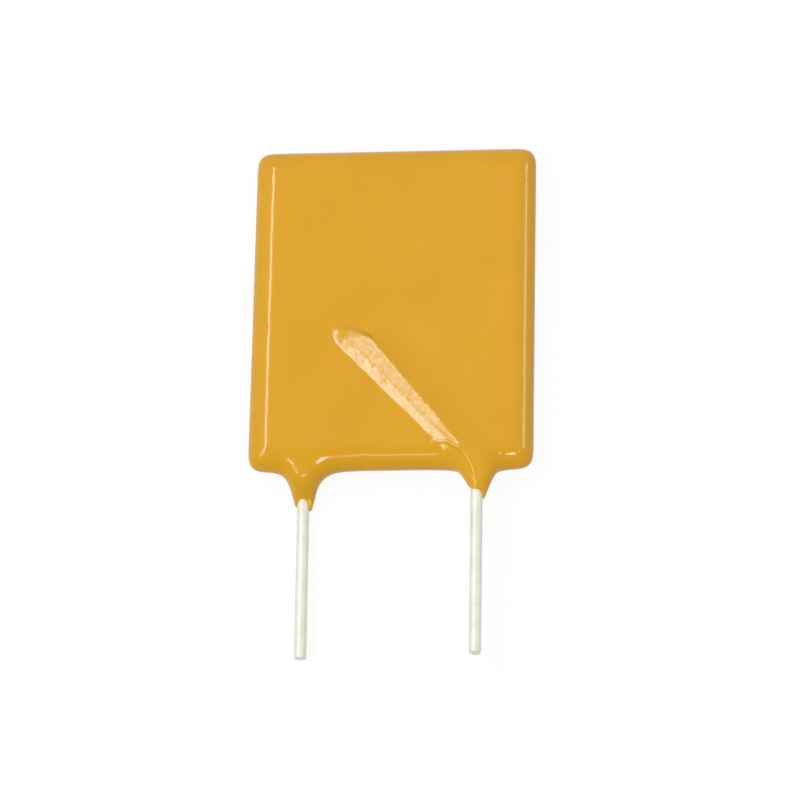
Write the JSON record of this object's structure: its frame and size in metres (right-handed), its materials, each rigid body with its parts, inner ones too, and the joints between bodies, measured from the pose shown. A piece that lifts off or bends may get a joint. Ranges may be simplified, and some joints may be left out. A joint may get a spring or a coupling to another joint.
{
  "type": "resettable fuse",
  "caption": "Flat dip-coated rectangular polymer resettable fuse with parallel round tinned leads, for through-hole circuit boards",
  "frame": {"origin": "the middle of the underside of the part's box, on the surface that the part lies on", "axes": "+Z is the way the front face looks, the part lying on its back; -Y is the way the leads point; +X is to the right of the front face seen with the leads down"},
  "size_m": [0.0166, 0.031, 0.0028],
  "materials": {
    "gold_epoxy": "glossy dipped epoxy, smooth with a faint waviness",
    "tinned_copper": "matt tin plating on drawn copper wire",
    "carbon_polymer": "matt black",
    "nickel_foil": "satin nickel foil",
    "solder": "satin reflowed solder"
  },
  "bodies": {
    "root": {"epoxy_coating": "gold_epoxy", "front_lead": "tinned_copper", "back_lead": "tinned_copper", "polymer_core": "carbon_polymer", "front_foil": "nickel_foil", "back_foil": "nickel_foil", "front_solder": "solder", "back_solder": "solder"}
  },
  "joints": []
}
